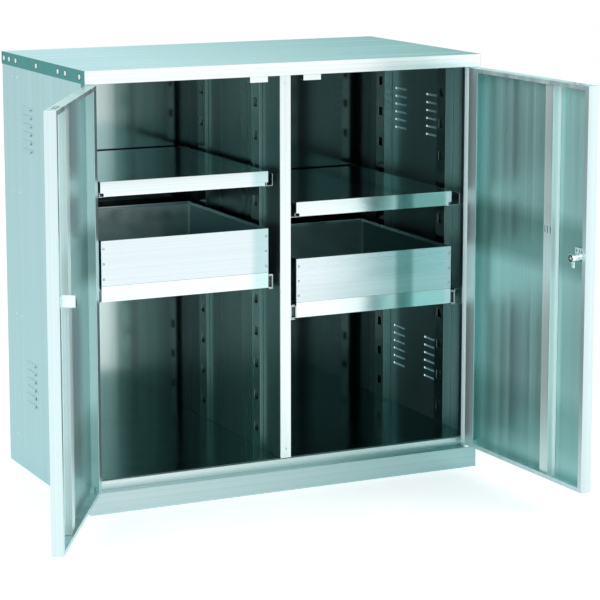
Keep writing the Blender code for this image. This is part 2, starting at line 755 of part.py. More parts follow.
def make_pivots(side, name):
    """Pins on plates: one on the plinth, one under the lip's return."""
    pin_x = across(side, PIVOT_SIDE)
    pin_y = back(PIVOT_BACK)
    near = back(PIVOT_PLATE_SETBACK)
    far = near + PIVOT_PLATE_WIDTH
    outer = across(side, PIVOT_PLATE_EDGE)
    inner = across(side, PIVOT_PLATE_EDGE + PIVOT_PLATE_LENGTH)
    floor_side = PLINTH_HEIGHT + GAP
    roof_side = LIP_BOTTOM - GAP
    plates = {
        "lower": (floor_side, floor_side + SHEET, DOOR_BOTTOM - GAP, DOOR_BOTTOM + PIN_REACH),
        "upper": (roof_side, roof_side - SHEET, DOOR_TOP + GAP, DOOR_TOP - PIN_REACH),
    }
    for place, (seat, plate_end, collar_end, pin_end) in plates.items():
        plate = bmesh.new()
        add_box(plate, (outer, near, seat), (inner, far, plate_end))
        obj = put(plate, f"{name}_{place}_pivot", "zinc", smooth=True)
        for radius, end in ((COLLAR_RADIUS, collar_end), (PIN_RADIUS, pin_end)):
            root = (seat + plate_end) / 2
            pin = bmesh.new()
            middle = (pin_x, pin_y, (root + end) / 2)
            add_cylinder(pin, middle, (0, 0, 1), radius, abs(end - root))
            change(obj, pin, "UNION")


def make_door(side, name, open_angle):
    """Door pan with its stiffener, bearing blocks and catch, drawn closed about its pivot."""
    turn = side * open_angle
    carrier = empty(f"{name}_door_axis", (across(side, PIVOT_SIDE), back(PIVOT_BACK), 0), turn)

    def at(along):
        """Local x of a place this far from the door's hinge edge."""
        return -side * (along - PIVOT_FROM_EDGE)

    face = -PIVOT_FROM_FACE
    inside = face + DOOR_THICKNESS
    shape = bmesh.new()
    add_box(shape, (at(0), face, DOOR_BOTTOM), (at(DOOR_WIDTH), inside, DOOR_TOP))
    door = put(shape, f"{name}_door_panel", "brushed", carrier)
    hollow = bmesh.new()
    low = (at(SHEET), face + SHEET, DOOR_BOTTOM + SHEET)
    add_box(hollow, low, (at(DOOR_WIDTH - SHEET), inside - SHEET, DOOR_TOP - SHEET))
    change(door, hollow)
    window = bmesh.new()
    low = (at(HINGE_LIP), inside - SHEET - OVERRUN, DOOR_BOTTOM + END_LIP)
    add_box(window, low, (at(DOOR_WIDTH - FREE_LIP), inside + OVERRUN, DOOR_TOP - END_LIP))
    change(door, window)

    blocks = bmesh.new()
    bores = bmesh.new()
    inlay = SHEET / 2
    for end, inwards in ((DOOR_BOTTOM, 1), (DOOR_TOP, -1)):
        low = (at(inlay), face + inlay, end + inwards * inlay)
        high = (at(BLOCK_LENGTH), face + BLOCK_WIDTH, end + inwards * BLOCK_HEIGHT)
        add_box(blocks, low, high)
        middle = (0, 0, end + inwards * BLOCK_HEIGHT / 2)
        add_cylinder(bores, middle, (0, 0, 1), PIN_RADIUS + GAP, BLOCK_HEIGHT + OVERRUN)
    change(door, blocks, "UNION")
    change(door, bores)
    catch_near = face + CATCH_SETBACK
    catch_far = catch_near + CATCH_WIDTH
    slot = bmesh.new()
    low = (at(CATCH_START - GAP), catch_near - GAP, DOOR_TOP - OVERRUN)
    add_box(slot, low, (at(CATCH_START + CATCH_LENGTH + GAP), catch_far + GAP, DOOR_TOP + OVERRUN))
    change(door, slot)

    skin = face + CLOSE
    low_end = DOOR_BOTTOM + CLOSE
    high_end = DOOR_TOP - CLOSE
    hat_end = HAT_START + HAT_WIDTH
    path = [
        (at(HAT_START), skin),
        (at(HAT_START + HAT_FOOT), skin),
        (at(HAT_START + HAT_FOOT), skin + HAT_DEPTH),
        (at(hat_end - HAT_FOOT), skin + HAT_DEPTH),
        (at(hat_end - HAT_FOOT), skin),
        (at(hat_end), skin),
    ]
    hat = bmesh.new()
    add_section(hat, folded(path, -side * SHEET), low_end, high_end, "XY")
    stiffener = put(hat, f"{name}_door_stiffener", "bright", carrier)
    slots = bmesh.new()
    web = HAT_WIDTH - 2 * HAT_FOOT
    half = web * HAT_SLOT_WIDTH_SHARE / 2
    for share in HAT_SLOT_SHARES:
        middle = HAT_START + HAT_FOOT + web * share
        low = (at(middle - half), skin + HAT_DEPTH - OVERRUN, HAT_SLOT_BOTTOM)
        high = (at(middle + half), skin + HAT_DEPTH + OVERRUN, HAT_SLOT_BOTTOM + HAT_SLOT_HEIGHT)
        add_box(slots, low, high)
    change(stiffener, slots)

    housing = bmesh.new()
    low = (at(CATCH_START), catch_near, DOOR_TOP - CATCH_HEIGHT)
    add_box(housing, low, (at(CATCH_START + CATCH_LENGTH), catch_far, DOOR_TOP))
    catch = put(housing, f"{name}_door_catch", "black", carrier)
    ball = bmesh.new()
    middle = (at(CATCH_START + CATCH_LENGTH / 2), (catch_near + catch_far) / 2, DOOR_TOP + BALL_PROUD - BALL_RADIUS)
    bmesh.ops.create_uvsphere(
        ball,
        u_segments=ROUND_SIDES,
        v_segments=SMALL_ROUND_SIDES,
        radius=BALL_RADIUS,
        matrix=Matrix.Translation(middle),
    )
    change(catch, ball, "UNION")
    return carrier, door


def make_keeper(carrier):
    """Bent bracket on the left door's free lip, reaching in beside the middle post."""
    def at(along):
        return along - PIVOT_FROM_EDGE

    lip = DOOR_THICKNESS - PIVOT_FROM_FACE + GAP
    corner = POST_SIDE - KEEPER_FROM_POST - DOOR_SIDE_GAP
    path = [
        (at(corner + KEEPER_FOOT), lip),
        (at(corner), lip),
        (at(corner), lip + KEEPER_ARM),
        (at(corner - KEEPER_RETURN), lip + KEEPER_ARM),
    ]
    shape = bmesh.new()
    add_section(shape, folded(path, -KEEPER_SHEET), KEEPER_BOTTOM, KEEPER_BOTTOM + KEEPER_HEIGHT, "XY")
    put(shape, "left_door_keeper", "bright", carrier)


def make_lock(carrier, door):
    """Rod guides, lock case and barrel on the right door, the turning cam and the rod."""
    def at(along):
        return PIVOT_FROM_EDGE - along

    face = -PIVOT_FROM_FACE
    skin = face + CLOSE
    lip = face + DOOR_THICKNESS
    plate_top = lip + GAP + LOCK_PLATE
    barrel_x = at(BARREL_START)

    guides = bmesh.new()
    bores = bmesh.new()
    for level in GUIDE_LEVELS:
        low = (at(ROD_START) - GUIDE_WIDTH / 2, face + SHEET / 2, level)
        add_box(guides, low, (at(ROD_START) + GUIDE_WIDTH / 2, face + GUIDE_DEPTH, level + GUIDE_HEIGHT))
        middle = (at(ROD_START), face + ROD_FROM_FACE, level + GUIDE_HEIGHT / 2)
        add_cylinder(bores, middle, (0, 0, 1), ROD_RADIUS + GAP, GUIDE_HEIGHT + OVERRUN)
    change(door, guides, "UNION")
    change(door, bores)

    hole = bmesh.new()
    middle = (barrel_x, face, BARREL_LEVEL)
    add_cylinder(hole, middle, (0, 1, 0), BARREL_RADIUS + GAP, 2 * OVERRUN)
    rod_hole = (at(ROD_START), face + ROD_FROM_FACE, DOOR_BOTTOM)
    add_cylinder(hole, rod_hole, (0, 0, 1), ROD_RADIUS + GAP, OVERRUN)
    change(door, hole)

    case = bmesh.new()
    low = (at(LOCK_START), skin, LOCK_BOTTOM)
    add_box(case, low, (at(LOCK_START + LOCK_LENGTH), plate_top, LOCK_BOTTOM + LOCK_HEIGHT))
    lock = put(case, "right_door_lock", "zinc", carrier, smooth=True)
    plate = bmesh.new()
    low = (at(LOCK_START + SHEET), lip + GAP, LOCK_BOTTOM + SHEET)
    high = (at(LOCK_START + LOCK_PLATE_LENGTH), plate_top - GAP, LOCK_BOTTOM + LOCK_HEIGHT - SHEET)
    add_box(plate, low, high)
    change(lock, plate, "UNION")
    barrel = bmesh.new()
    near = face - BARREL_PROUD
    far = plate_top + BARREL_REACH
    middle = (barrel_x, (near + far) / 2, BARREL_LEVEL)
    add_cylinder(barrel, middle, (0, 1, 0), BARREL_RADIUS, far - near, 2 * ROUND_SIDES)
    change(lock, barrel, "UNION")

    turn_at = empty("lock_cam_axis", (barrel_x, far, BARREL_LEVEL))
    turn_at.parent = carrier
    disc = bmesh.new()
    middle = (0, GAP + CAM_THICKNESS / 2, 0)
    add_cylinder(disc, middle, (0, 1, 0), BARREL_RADIUS, CAM_THICKNESS, 2 * ROUND_SIDES)
    cam = put(disc, "right_lock_cam", "zinc", turn_at, smooth=True)
    blade = bmesh.new()
    low = (-BLADE_WIDTH / 2, GAP + BLADE_SETBACK, -BLADE_LENGTH)
    add_box(blade, low, (BLADE_WIDTH / 2, GAP + BLADE_SETBACK + BLADE_THICKNESS, 0))
    change(cam, blade, "UNION")

    slide_at = empty("lock_rod_axis", (at(ROD_START), face + ROD_FROM_FACE, ROD_TOP))
    slide_at.parent = carrier
    rod_foot = DOOR_BOTTOM + GAP
    rod = bmesh.new()
    middle = (0, 0, (rod_foot - ROD_TOP) / 2)
    add_cylinder(rod, middle, (0, 0, 1), ROD_RADIUS, ROD_TOP - rod_foot)
    put(rod, "right_lock_rod", "zinc", slide_at, smooth=True)


def make_cabinet():
    make_top()
    make_back()
    make_divider()
    make_base()
    make_header()
    for side, name, open_angle in ((LEFT, "left", LEFT_DOOR_OPEN), (RIGHT, "right", RIGHT_DOOR_OPEN)):
        make_side(side, name)
        make_jamb(side, name)
        make_uprights(side, name)
        make_strike(side, name)
        make_shelf(side, name)
        make_slides(side, name)
        make_drawer(side, name)
        make_pivots(side, name)
        carrier, door = make_door(side, name, open_angle)
        if side == LEFT:
            make_keeper(carrier)
        else:
            make_lock(carrier, door)


clear_scene()
PARTS = collection("chemical_storage_cabinet")
CUTTERS = collection("cutters", hidden=True)
make_cabinet()
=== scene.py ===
"""Looks for the two-door steel cabinet: sheet steel with rounded folds, plugs, rivets, screws,
drawer hems, catch and lock details, each riding on the part that carries it. Metres, +Z up.
"""

import json
import math

import bmesh
import bpy
from mathutils import Matrix, Vector

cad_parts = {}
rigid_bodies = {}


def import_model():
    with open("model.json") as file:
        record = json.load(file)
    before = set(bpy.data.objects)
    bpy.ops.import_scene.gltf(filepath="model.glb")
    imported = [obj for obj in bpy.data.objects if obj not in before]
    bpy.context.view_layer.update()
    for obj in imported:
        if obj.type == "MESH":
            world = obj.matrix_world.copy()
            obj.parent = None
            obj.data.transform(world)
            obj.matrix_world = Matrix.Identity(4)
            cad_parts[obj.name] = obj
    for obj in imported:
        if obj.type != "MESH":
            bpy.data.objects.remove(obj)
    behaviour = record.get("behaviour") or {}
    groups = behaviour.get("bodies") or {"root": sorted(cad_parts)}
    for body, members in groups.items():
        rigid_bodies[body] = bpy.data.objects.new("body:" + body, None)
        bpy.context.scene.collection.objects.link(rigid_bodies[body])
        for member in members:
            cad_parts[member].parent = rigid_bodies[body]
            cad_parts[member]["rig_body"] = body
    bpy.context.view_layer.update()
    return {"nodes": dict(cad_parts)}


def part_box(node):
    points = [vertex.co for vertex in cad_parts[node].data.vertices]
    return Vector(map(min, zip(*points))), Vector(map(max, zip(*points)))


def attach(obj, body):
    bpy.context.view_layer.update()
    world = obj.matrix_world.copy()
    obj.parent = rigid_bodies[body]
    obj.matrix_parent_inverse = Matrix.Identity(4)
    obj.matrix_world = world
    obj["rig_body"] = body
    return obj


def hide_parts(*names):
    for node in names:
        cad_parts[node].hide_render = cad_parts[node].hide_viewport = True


# Where the camera stands, and how it looks
CAMERA_PLACE = (-2.2906, -5.0835, 1.5001)
CAMERA_YAW = math.radians(25.741)
CAMERA_PITCH = math.radians(9.638)
CAMERA_LENS = 140.2
CAMERA_SHIFT = -0.1
SENSOR_WIDTH = 36.0
VIEW_REACH = 50

# Light level, lamps, and the ground's own white
WORLD_LIGHT = 0.75
LAMP_TARGET = (0, 0, 0.5)
KEY_PLACE = (-2.6, -3.4, 3.6)
KEY_SIZE = 2.4
KEY_POWER = 55
FILL_PLACE = (3.0, -3.0, 2.4)
FILL_SIZE = 2.0
FILL_POWER = 35
GROUND_GLOW = 0.35
GROUND_COLOUR = (0.93, 0.96, 0.96)
GROUND_ROUGHNESS = 0.9
GROUND_HALF = 6
GROUND_CELLS = 8

# Rounding of the folds
FOLD_RADIUS = 0.00045
FOLD_STEPS = 2
FOLD_ANGLE = math.radians(35)
FLAT_ANGLE = math.radians(0.5)
MERGE_SHARE = 1 / 40
FACE_WEIGHT = 100

# Cabinet sizes that the fittings are placed by
DEPTH = 0.565
LIP = 0.030
ROUND_STEPS = 24
BEZEL_STEPS = 40
BLOCK_EDGE_SHARE = 0.12
BLOCK_EDGE_STEPS = 2
BLOCK_EDGE_FORM = 0.6
HEAD_STEPS = 5
HEAD_SHOULDER = 0.25
HEAD_TIP_SHARE = 0.08
HEAD_FOOT = 0.0003
SIDE_PLANE = 0.4985
TOP_HOLE_SHARES = (0.053, 0.214, 0.299, 0.559, 0.814, 0.899, 0.965)
PLUG_RADIUS = 0.0060
PLUG_HEIGHT = 0.0009
# Near-black ring round each cover plug: painted shade
PLUG_SHADE_RADIUS = 0.0078
SHADE_DISC_HEIGHT = 0.00015
RIVET_DEPTH_SHARES = (0.81, 0.88)
RIVET_LEVEL_SHARES = (0.080, 0.375, 0.675, 0.948)
RIVET_RADIUS = 0.0024
RIVET_HEIGHT = 0.0007
DRAWER_RIVET_SHARES = (0.154, 0.490, 0.827)
DRAWER_RIVET_INSET = 0.006
DRAWER_RIVET = 0.0017
DRAWER_RING = 0.0026
HEM = 0.0018
HEM_HEIGHT = 0.0070
HEM_EDGE_SHARE = 0.3
SLIDE_HOLE_SHARES = (0.06, 0.14, 0.38, 0.62, 0.86)
SLIDE_HOLE = 0.0030
SLIDE_WEB = 0.0013
BUMPER_LENGTH = 0.006
BUMPER_WIDTH_SHARE = 0.55
BUMPER_SHIFT_SHARE = 0.1
BUMPER_HEIGHT_SHARE = 0.7
POST_SCREW_LOW = 0.022
POST_SCREW_HIGH = 0.020
SCREW_RADIUS = 0.0030
SCREW_HEIGHT = 0.0012
SCREW_SLOT_LENGTH_SHARE = 1.2
SCREW_SLOT_WIDTH_SHARE = 0.22
CATCH_BALL = 0.0037
BALL_STEPS = 6
BALL_TIP_SHARE = 0.05
BALL_PROUD = 0.0012
BALL_OVER = 0.0003
CATCH_LENGTH = 0.051
CATCH_SCREW = 0.0022
CATCH_SCREW_SHARE = 0.38

# The doors as they rest, from their pivots
RIGHT_DOOR_OPEN = math.radians(92)
LEFT_DOOR_OPEN = math.radians(120)
PIVOT = Vector((0.4935, -0.2790, 0.0))
DOOR_WAYS = {
    "left": (math.cos(LEFT_DOOR_OPEN), -math.sin(LEFT_DOOR_OPEN), 0),
    "right": (-math.cos(RIGHT_DOOR_OPEN), -math.sin(RIGHT_DOOR_OPEN), 0),
}
DOOR_INWARDS = {
    "left": (math.sin(LEFT_DOOR_OPEN), math.cos(LEFT_DOOR_OPEN), 0),
    "right": (-math.sin(RIGHT_DOOR_OPEN), math.cos(RIGHT_DOOR_OPEN), 0),
}
DOOR_FACE = 0.0055
DOOR_LIP_BACK = 0.0190
DOOR_HINGE_REACH = 0.0039
DOOR_FREE_REACH = 0.4912

# The right door's lock, measured from its turning axis
LOCK_FROM_PIVOT = 0.4675
LOCK_AXIS = PIVOT + Vector(DOOR_WAYS["right"]) * LOCK_FROM_PIVOT + Vector((0, 0, 0.592))
LOCK_RADIUS = 0.0095
PLATE_TOP = 0.0226
CAM_END = 0.0439
KEY_FACE = 0.0097
LOCK_PLATE_LENGTH = 0.027
LOCK_BAR_SHARES = (-0.28, 0.10, 0.38)
LOCK_BAR_LIFT = 0.0150
LOCK_BAR_HEIGHT = 0.006
LOCK_BAR_WIDTH_SHARE = 3
LOCK_SCREW_RADIUS_SHARE = 0.44
LOCK_SCREW_HEIGHT_SHARE = 2
KEY_SLOT_WIDTH_SHARE = 2.4
KEY_SLOT_LENGTH_SHARE = 0.95

# Turned profiles, as shares of the lock's radius and of the skin
CAM_RING = ((0.86, -1), (0.86, 0.8), (0.50, 0.8), (0.50, -1))
LOCK_BEZEL = ((1.30, -1), (1.30, 1), (1.16, 2.6), (1.02, 2.6), (0.98, 1))

# Thickness of a surface layer, and a distance past every part
SKIN = 0.0006
FAR = 0.2
EVERYWHERE = 9

# Zones of painted shade and painted reflection: where each starts, where it ends, and how soft its ends
# are
COVER_SHADE = (0.08, EVERYWHERE, 0.42)
COVER_LINE_START = 0.0016
COVER_LINE_END = 0.0032
COVER_LINE_SOFT = 0.0006
BACK_SHADE = (-0.22, EVERYWHERE, 0.15)
RAIL_SHADE = (0.10, EVERYWHERE, 0.50)
TRAY_END_SHADE = (0.20, EVERYWHERE, 0.10)
TRAY_LEFT_SHADE = (-0.075, 0.0, 0.008)
TRAY_RIGHT_SHADE = (0.300, 0.345, 0.006)
DOOR_MIDDLE_SHADE = (0.54, 0.66, 0.02)
DOOR_FOOT_SHADE = (0.10, 0.24, 0.03)
POST_FACE = 0.004
POST_SOFT = 0.001
WALL_REACH = 1
WALL_BACK = 0.010
WALL_BACK_SOFT = 0.002
WALL_SHADE_DEPTH = 0.050
WALL_SHADE_SOFT = 0.040

# Brushed grain: noise scales along, across and without grain, and how strongly they show
LINE_SCALES = (0.05, 420, 160)
STREAK_SCALES = (0.1, 28, 6)
STREAK_DETAIL = 3
WAVE_SCALE = (3.5, 3.5, 2.0)
NOISE_LOW = 0.3
NOISE_MIDDLE = 0.52
NOISE_HIGH = 0.7
LINE_SHARE = 0.6
LINE_TONE = (0.86, 0.88, 0.88)
GRAIN_STRENGTH = 0.35
GRAIN_DEPTH = 0.00006
GLOSSIEST_SHARE = 0.8
DULLEST_SHARE = 1.25

# Mottle of the moulded pieces
MOTTLE_SCALE = (300, 300, 300)
MOTTLE_DETAIL = 3
MOTTLE_SPREAD = 0.15
MOTTLE_STRENGTH = 0.2
MOTTLE_DEPTH = 0.00005

# Colours used more than once, and the tint of steel seen edge on
BLACK = (0.010, 0.020, 0.020)
WHITE = (0.90, 0.95, 0.95)
PURE_WHITE = (1.0, 1.0, 1.0)
DOOR_PALE = (0.68, 0.82, 0.84)
# Painted dark reflection on the outer faces of the cover's side flanges
FLANGE_PAINTED_REFLECTION = (0.13, 0.30, 0.28)
EDGE_TINT = (0.70, 0.88, 0.88)
COVER_EDGE_TINT = (0.49, 0.77, 0.80)

X_WAY = (1, 0, 0)
Y_WAY = (0, 1, 0)
Z_WAY = (0, 0, 1)

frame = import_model()
NODES = frame["nodes"]
SIDES = {"left": -1, "right": 1}


# Shader building

def new_material(name):
    material = bpy.data.materials.new(name)
    material.use_nodes = True
    tree = material.node_tree
    shader = tree.nodes["Principled BSDF"]
    return material, tree, shader


def add_node(tree, kind, **settings):
    node = tree.nodes.new(kind)
    for name, value in settings.items():
        setattr(node, name, value)
    return node


def scaled_noise(tree, scale, detail):
    """Noise with its own scale along each axis, in the part's own frame."""
    place = add_node(tree, "ShaderNodeTexCoord")
    mapping = add_node(tree, "ShaderNodeMapping")
    mapping.inputs["Scale"].default_value = scale
    noise = add_node(tree, "ShaderNodeTexNoise")
    noise.inputs["Scale"].default_value = 1.0
    noise.inputs["Detail"].default_value = detail
    noise.inputs["Roughness"].default_value = 0.5
    tree.links.new(place.outputs["Object"], mapping.inputs["Vector"])
    tree.links.new(mapping.outputs["Vector"], noise.inputs["Vector"])
    return noise.outputs["Fac"]


def ramp(tree, factor, stops):
    """Colour that runs through the stops; each stop is a place and a colour."""
    node = add_node(tree, "ShaderNodeValToRGB")
    node.color_ramp.elements[0].position = stops[0][0]
    node.color_ramp.elements[0].color = (*stops[0][1], 1)
    node.color_ramp.elements[1].position = stops[-1][0]
    node.color_ramp.elements[1].color = (*stops[-1][1], 1)
    for position, colour in stops[1:-1]:
        element = node.color_ramp.elements.new(position)
        element.color = (*colour, 1)
    tree.links.new(factor, node.inputs["Fac"])
    return node.outputs["Color"]


def spread(tree, factor, low, high):
    """Number that runs from low to high over the noise's middle part."""
    node = add_node(tree, "ShaderNodeMapRange")
    node.inputs["From Min"].default_value = NOISE_LOW
    node.inputs["From Max"].default_value = NOISE_HIGH
    node.inputs["To Min"].default_value = low
    node.inputs["To Max"].default_value = high
    tree.links.new(factor, node.inputs["Value"])
    return node.outputs["Result"]


def scaled(colour, amount):
    return tuple(min(1.0, part * amount) for part in colour)


def in_band(tree, way, low, high, soft):
    """1 where a place's distance along a direction lies between two numbers, with soft ends."""
    place = add_node(tree, "ShaderNodeTexCoord")
    along = add_node(tree, "ShaderNodeVectorMath", operation="DOT_PRODUCT")
    along.inputs[1].default_value = way
    tree.links.new(place.outputs["Object"], along.inputs[0])
    product = add_node(tree, "ShaderNodeMath", operation="MULTIPLY")
    for index, (start, end) in enumerate(((low - soft, low + soft), (high + soft, high - soft))):
        edge = add_node(tree, "ShaderNodeMapRange")
        edge.inputs["From Min"].default_value = start
        edge.inputs["From Max"].default_value = end
        tree.links.new(along.outputs["Value"], edge.inputs["Value"])
        tree.links.new(edge.outputs["Result"], product.inputs[index])
    return product.outputs["Value"]


def tinted(tree, base, factor, colour):
    """Multiplies a colour by another where the factor is 1."""
    mix = add_node(tree, "ShaderNodeMix", data_type="RGBA", blend_type="MULTIPLY")
    tree.links.new(factor, mix.inputs["Factor"])
    tree.links.new(base, mix.inputs["A"])
    mix.inputs["B"].default_value = (*colour, 1)
    return mix.outputs["Result"]


def in_bands(tree, limits):
    """1 where a place lies inside every one of the bands."""
    factor = in_band(tree, *limits[0])
    for limit in limits[1:]:
        both = add_node(tree, "ShaderNodeMath", operation="MULTIPLY")
        tree.links.new(factor, both.inputs[0])
        tree.links.new(in_band(tree, *limit), both.inputs[1])
        factor = both.outputs["Value"]
    return factor


def grain_scale(grain, scales):
    """Noise scale drawn out along the named axis, or even where there is no grain."""
    along, across, even = scales
    if grain == "none":
        return (even, even, even)
    return tuple(along if axis == grain else across for axis in "XYZ")


def steel(name, colour, roughness, grain, contrast, metallic=1.0, waves=0.0, bands=(), edge=EDGE_TINT):
    """Brushed sheet: fine lines and broad streaks along the grain, in colour, gloss and relief."""
    material, tree, shader = new_material(name)
    lines = scaled_noise(tree, grain_scale(grain, LINE_SCALES), 0)
    streaks = scaled_noise(tree, grain_scale(grain, STREAK_SCALES), STREAK_DETAIL)
    dark = scaled(colour, 1 - contrast)
    light = scaled(colour, 1 + contrast)
    streak_colour = ramp(tree, streaks, ((NOISE_LOW, dark), (NOISE_MIDDLE, colour), (NOISE_HIGH, light)))
    line_colour = ramp(tree, lines, ((NOISE_LOW, LINE_TONE), (NOISE_HIGH, PURE_WHITE)))
    mix = add_node(tree, "ShaderNodeMix", data_type="RGBA", blend_type="MULTIPLY")
    mix.inputs["Factor"].default_value = LINE_SHARE
    tree.links.new(streak_colour, mix.inputs["A"])
    tree.links.new(line_colour, mix.inputs["B"])
    tone = mix.outputs["Result"]
    # Each band multiplies painted shade and painted reflections into the colour
    for limits, tint in bands:
        tone = tinted(tree, tone, in_bands(tree, limits), tint)
    tree.links.new(tone, shader.inputs["Base Color"])
    gloss = spread(tree, streaks, roughness * GLOSSIEST_SHARE, roughness * DULLEST_SHARE)
    tree.links.new(gloss, shader.inputs["Roughness"])
    shader.inputs["Metallic"].default_value = metallic
    shader.inputs["Specular Tint"].default_value = (*edge, 1)
    bump = add_node(tree, "ShaderNodeBump")
    bump.inputs["Strength"].default_value = GRAIN_STRENGTH
    bump.inputs["Distance"].default_value = GRAIN_DEPTH
    tree.links.new(lines, bump.inputs["Height"])
    if waves:
        dents = add_node(tree, "ShaderNodeBump")
        dents.inputs["Strength"].default_value = 1.0
        dents.inputs["Distance"].default_value = waves
        tree.links.new(scaled_noise(tree, WAVE_SCALE, 1), dents.inputs["Height"])
        tree.links.new(dents.outputs["Normal"], bump.inputs["Normal"])
    tree.links.new(bump.outputs["Normal"], shader.inputs["Normal"])
    return material


def moulded(name, colour, roughness):
    """Moulded plastic with a faint mottle and a fine grain."""
    material, tree, shader = new_material(name)
    mottle = scaled_noise(tree, MOTTLE_SCALE, MOTTLE_DETAIL)
    least = 1 - MOTTLE_SPREAD
    most = 1 + MOTTLE_SPREAD
    tone = ramp(tree, mottle, ((NOISE_LOW, scaled(colour, least)), (NOISE_HIGH, scaled(colour, most))))
    tree.links.new(tone, shader.inputs["Base Color"])
    gloss = spread(tree, mottle, roughness * least, roughness * most)
    tree.links.new(gloss, shader.inputs["Roughness"])
    bump = add_node(tree, "ShaderNodeBump")
    bump.inputs["Strength"].default_value = MOTTLE_STRENGTH
    bump.inputs["Distance"].default_value = MOTTLE_DEPTH
    tree.links.new(mottle, bump.inputs["Height"])
    tree.links.new(bump.outputs["Normal"], shader.inputs["Normal"])
    return material


# Painted shade and painted reflections by place: a list of bands and the colour that multiplies the steel
# where all of them hold

TOP_LOW, TOP_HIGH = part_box("top_panel")
POST_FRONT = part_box("divider")[0].y
BACK_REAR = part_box("back_panel")[1].y
WALLS_LOW, WALLS_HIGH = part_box("left_drawer_walls")
TOP_FACE = (Z_WAY, TOP_HIGH.z - SKIN, TOP_HIGH.z + FAR, SKIN / 2)
LEFT_FLANGE = (X_WAY, TOP_LOW.x - FAR, TOP_LOW.x + SKIN, SKIN / 2)
RIGHT_FLANGE = (X_WAY, TOP_HIGH.x - SKIN, TOP_HIGH.x + FAR, SKIN / 2)
COVER_LINE = (Y_WAY, TOP_LOW.y + COVER_LINE_START, TOP_LOW.y + COVER_LINE_END, COVER_LINE_SOFT)
# Painted dark reflections on the cover: darker outer flange faces, the top face darker towards the right,
# and a painted shade line just behind the front edge
COVER_PAINTED_SHADE = (
    ([LEFT_FLANGE], FLANGE_PAINTED_REFLECTION),
    ([RIGHT_FLANGE], FLANGE_PAINTED_REFLECTION),
    ([TOP_FACE, (X_WAY, *COVER_SHADE)], (0.20, 0.44, 0.40)),
    ([TOP_FACE, COVER_LINE], (0.05, 0.10, 0.10)),
)
# Painted shade on the inner faces of the sides, inside the cabinet
SIDE_PAINTED_SHADE = (([(X_WAY, -SIDE_PLANE + SKIN, SIDE_PLANE - SKIN, SKIN / 2)], (0.60, 0.66, 0.63)),)
# On the back: its outer face a darker tone, and its inner face darker towards the right, a painted dark
# reflection
BACK_BANDS = (
    ([(Y_WAY, BACK_REAR - SKIN, EVERYWHERE, SKIN / 2)], (0.45, 0.52, 0.54)),
    ([(Y_WAY, -EVERYWHERE, BACK_REAR - SKIN, SKIN / 2), (X_WAY, *BACK_SHADE)], (0.15, 0.155, 0.16)),
)
# Painted shade on the divider and jambs, everywhere behind a plane just behind the divider's front face
POST_PAINTED_SHADE = (([(Y_WAY, POST_FRONT + POST_FACE, EVERYWHERE, POST_SOFT)], (0.28, 0.36, 0.35)),)
# Painted shade: the bottom rail and plinth front darker towards the right
RAIL_PAINTED_SHADE = (([(X_WAY, *RAIL_SHADE)], (0.50, 0.66, 0.65)),)
# Painted reflections on drawer fronts, shelves and drawer trays: darker towards the right, and two darker
# upright zones
TRAY_PAINTED_REFLECTIONS = (
    ([(X_WAY, *TRAY_END_SHADE)], (0.82, 0.93, 0.92)),
    ([(X_WAY, *TRAY_LEFT_SHADE)], (0.70, 0.86, 0.85)),
    ([(X_WAY, *TRAY_RIGHT_SHADE)], (0.45, 0.62, 0.60)),
)
# Painted shade inside the drawers: every wall but the back one darker, and all walls darker towards the
# bottom
WALL_SIDES = (Y_WAY, WALLS_LOW.y - WALL_REACH, WALLS_HIGH.y - WALL_BACK, WALL_BACK_SOFT)
WALL_FOOT = (Z_WAY, 0.0, WALLS_HIGH.z - WALL_SHADE_DEPTH, WALL_SHADE_SOFT)
WALL_PAINTED_SHADE = (
    ([WALL_SIDES], (0.34, 0.46, 0.45)),
    ([WALL_FOOT], (0.45, 0.50, 0.50)),
)


def door_painted_shade(name, tint):
    """Painted shade and painted reflections on a door pan, by distances from its pivot: a darker outside
    face, a tint over the inside face, and two darker horizontal zones inside.
    """
    inwards = Vector(DOOR_INWARDS[name])
    across = Vector(DOOR_WAYS[name])
    place = Vector((PIVOT.x * SIDES[name], PIVOT.y, 0))
    pivot = place.dot(inwards)
    hinge = place.dot(across)
    depth = (inwards, pivot - DOOR_FACE + SKIN, pivot + DOOR_LIP_BACK, SKIN / 2)
    span = (across, hinge - DOOR_HINGE_REACH, hinge + DOOR_FREE_REACH, SKIN / 2)
    outside = (inwards, pivot - FAR, pivot - DOOR_FACE + SKIN, SKIN / 2)
    return (
        ([outside, span], (0.64, 0.73, 0.73)),
        ([depth, span], tint),
        ([depth, span, (Z_WAY, *DOOR_MIDDLE_SHADE)], (0.56, 0.64, 0.62)),
        ([depth, span, (Z_WAY, *DOOR_FOOT_SHADE)], (0.70, 0.78, 0.77)),
    )


LEFT_DOOR_PAINTED_SHADE = door_painted_shade("left", (0.94, 1.00, 0.98))
RIGHT_DOOR_PAINTED_SHADE = door_painted_shade("right", (0.70, 0.96, 0.92))

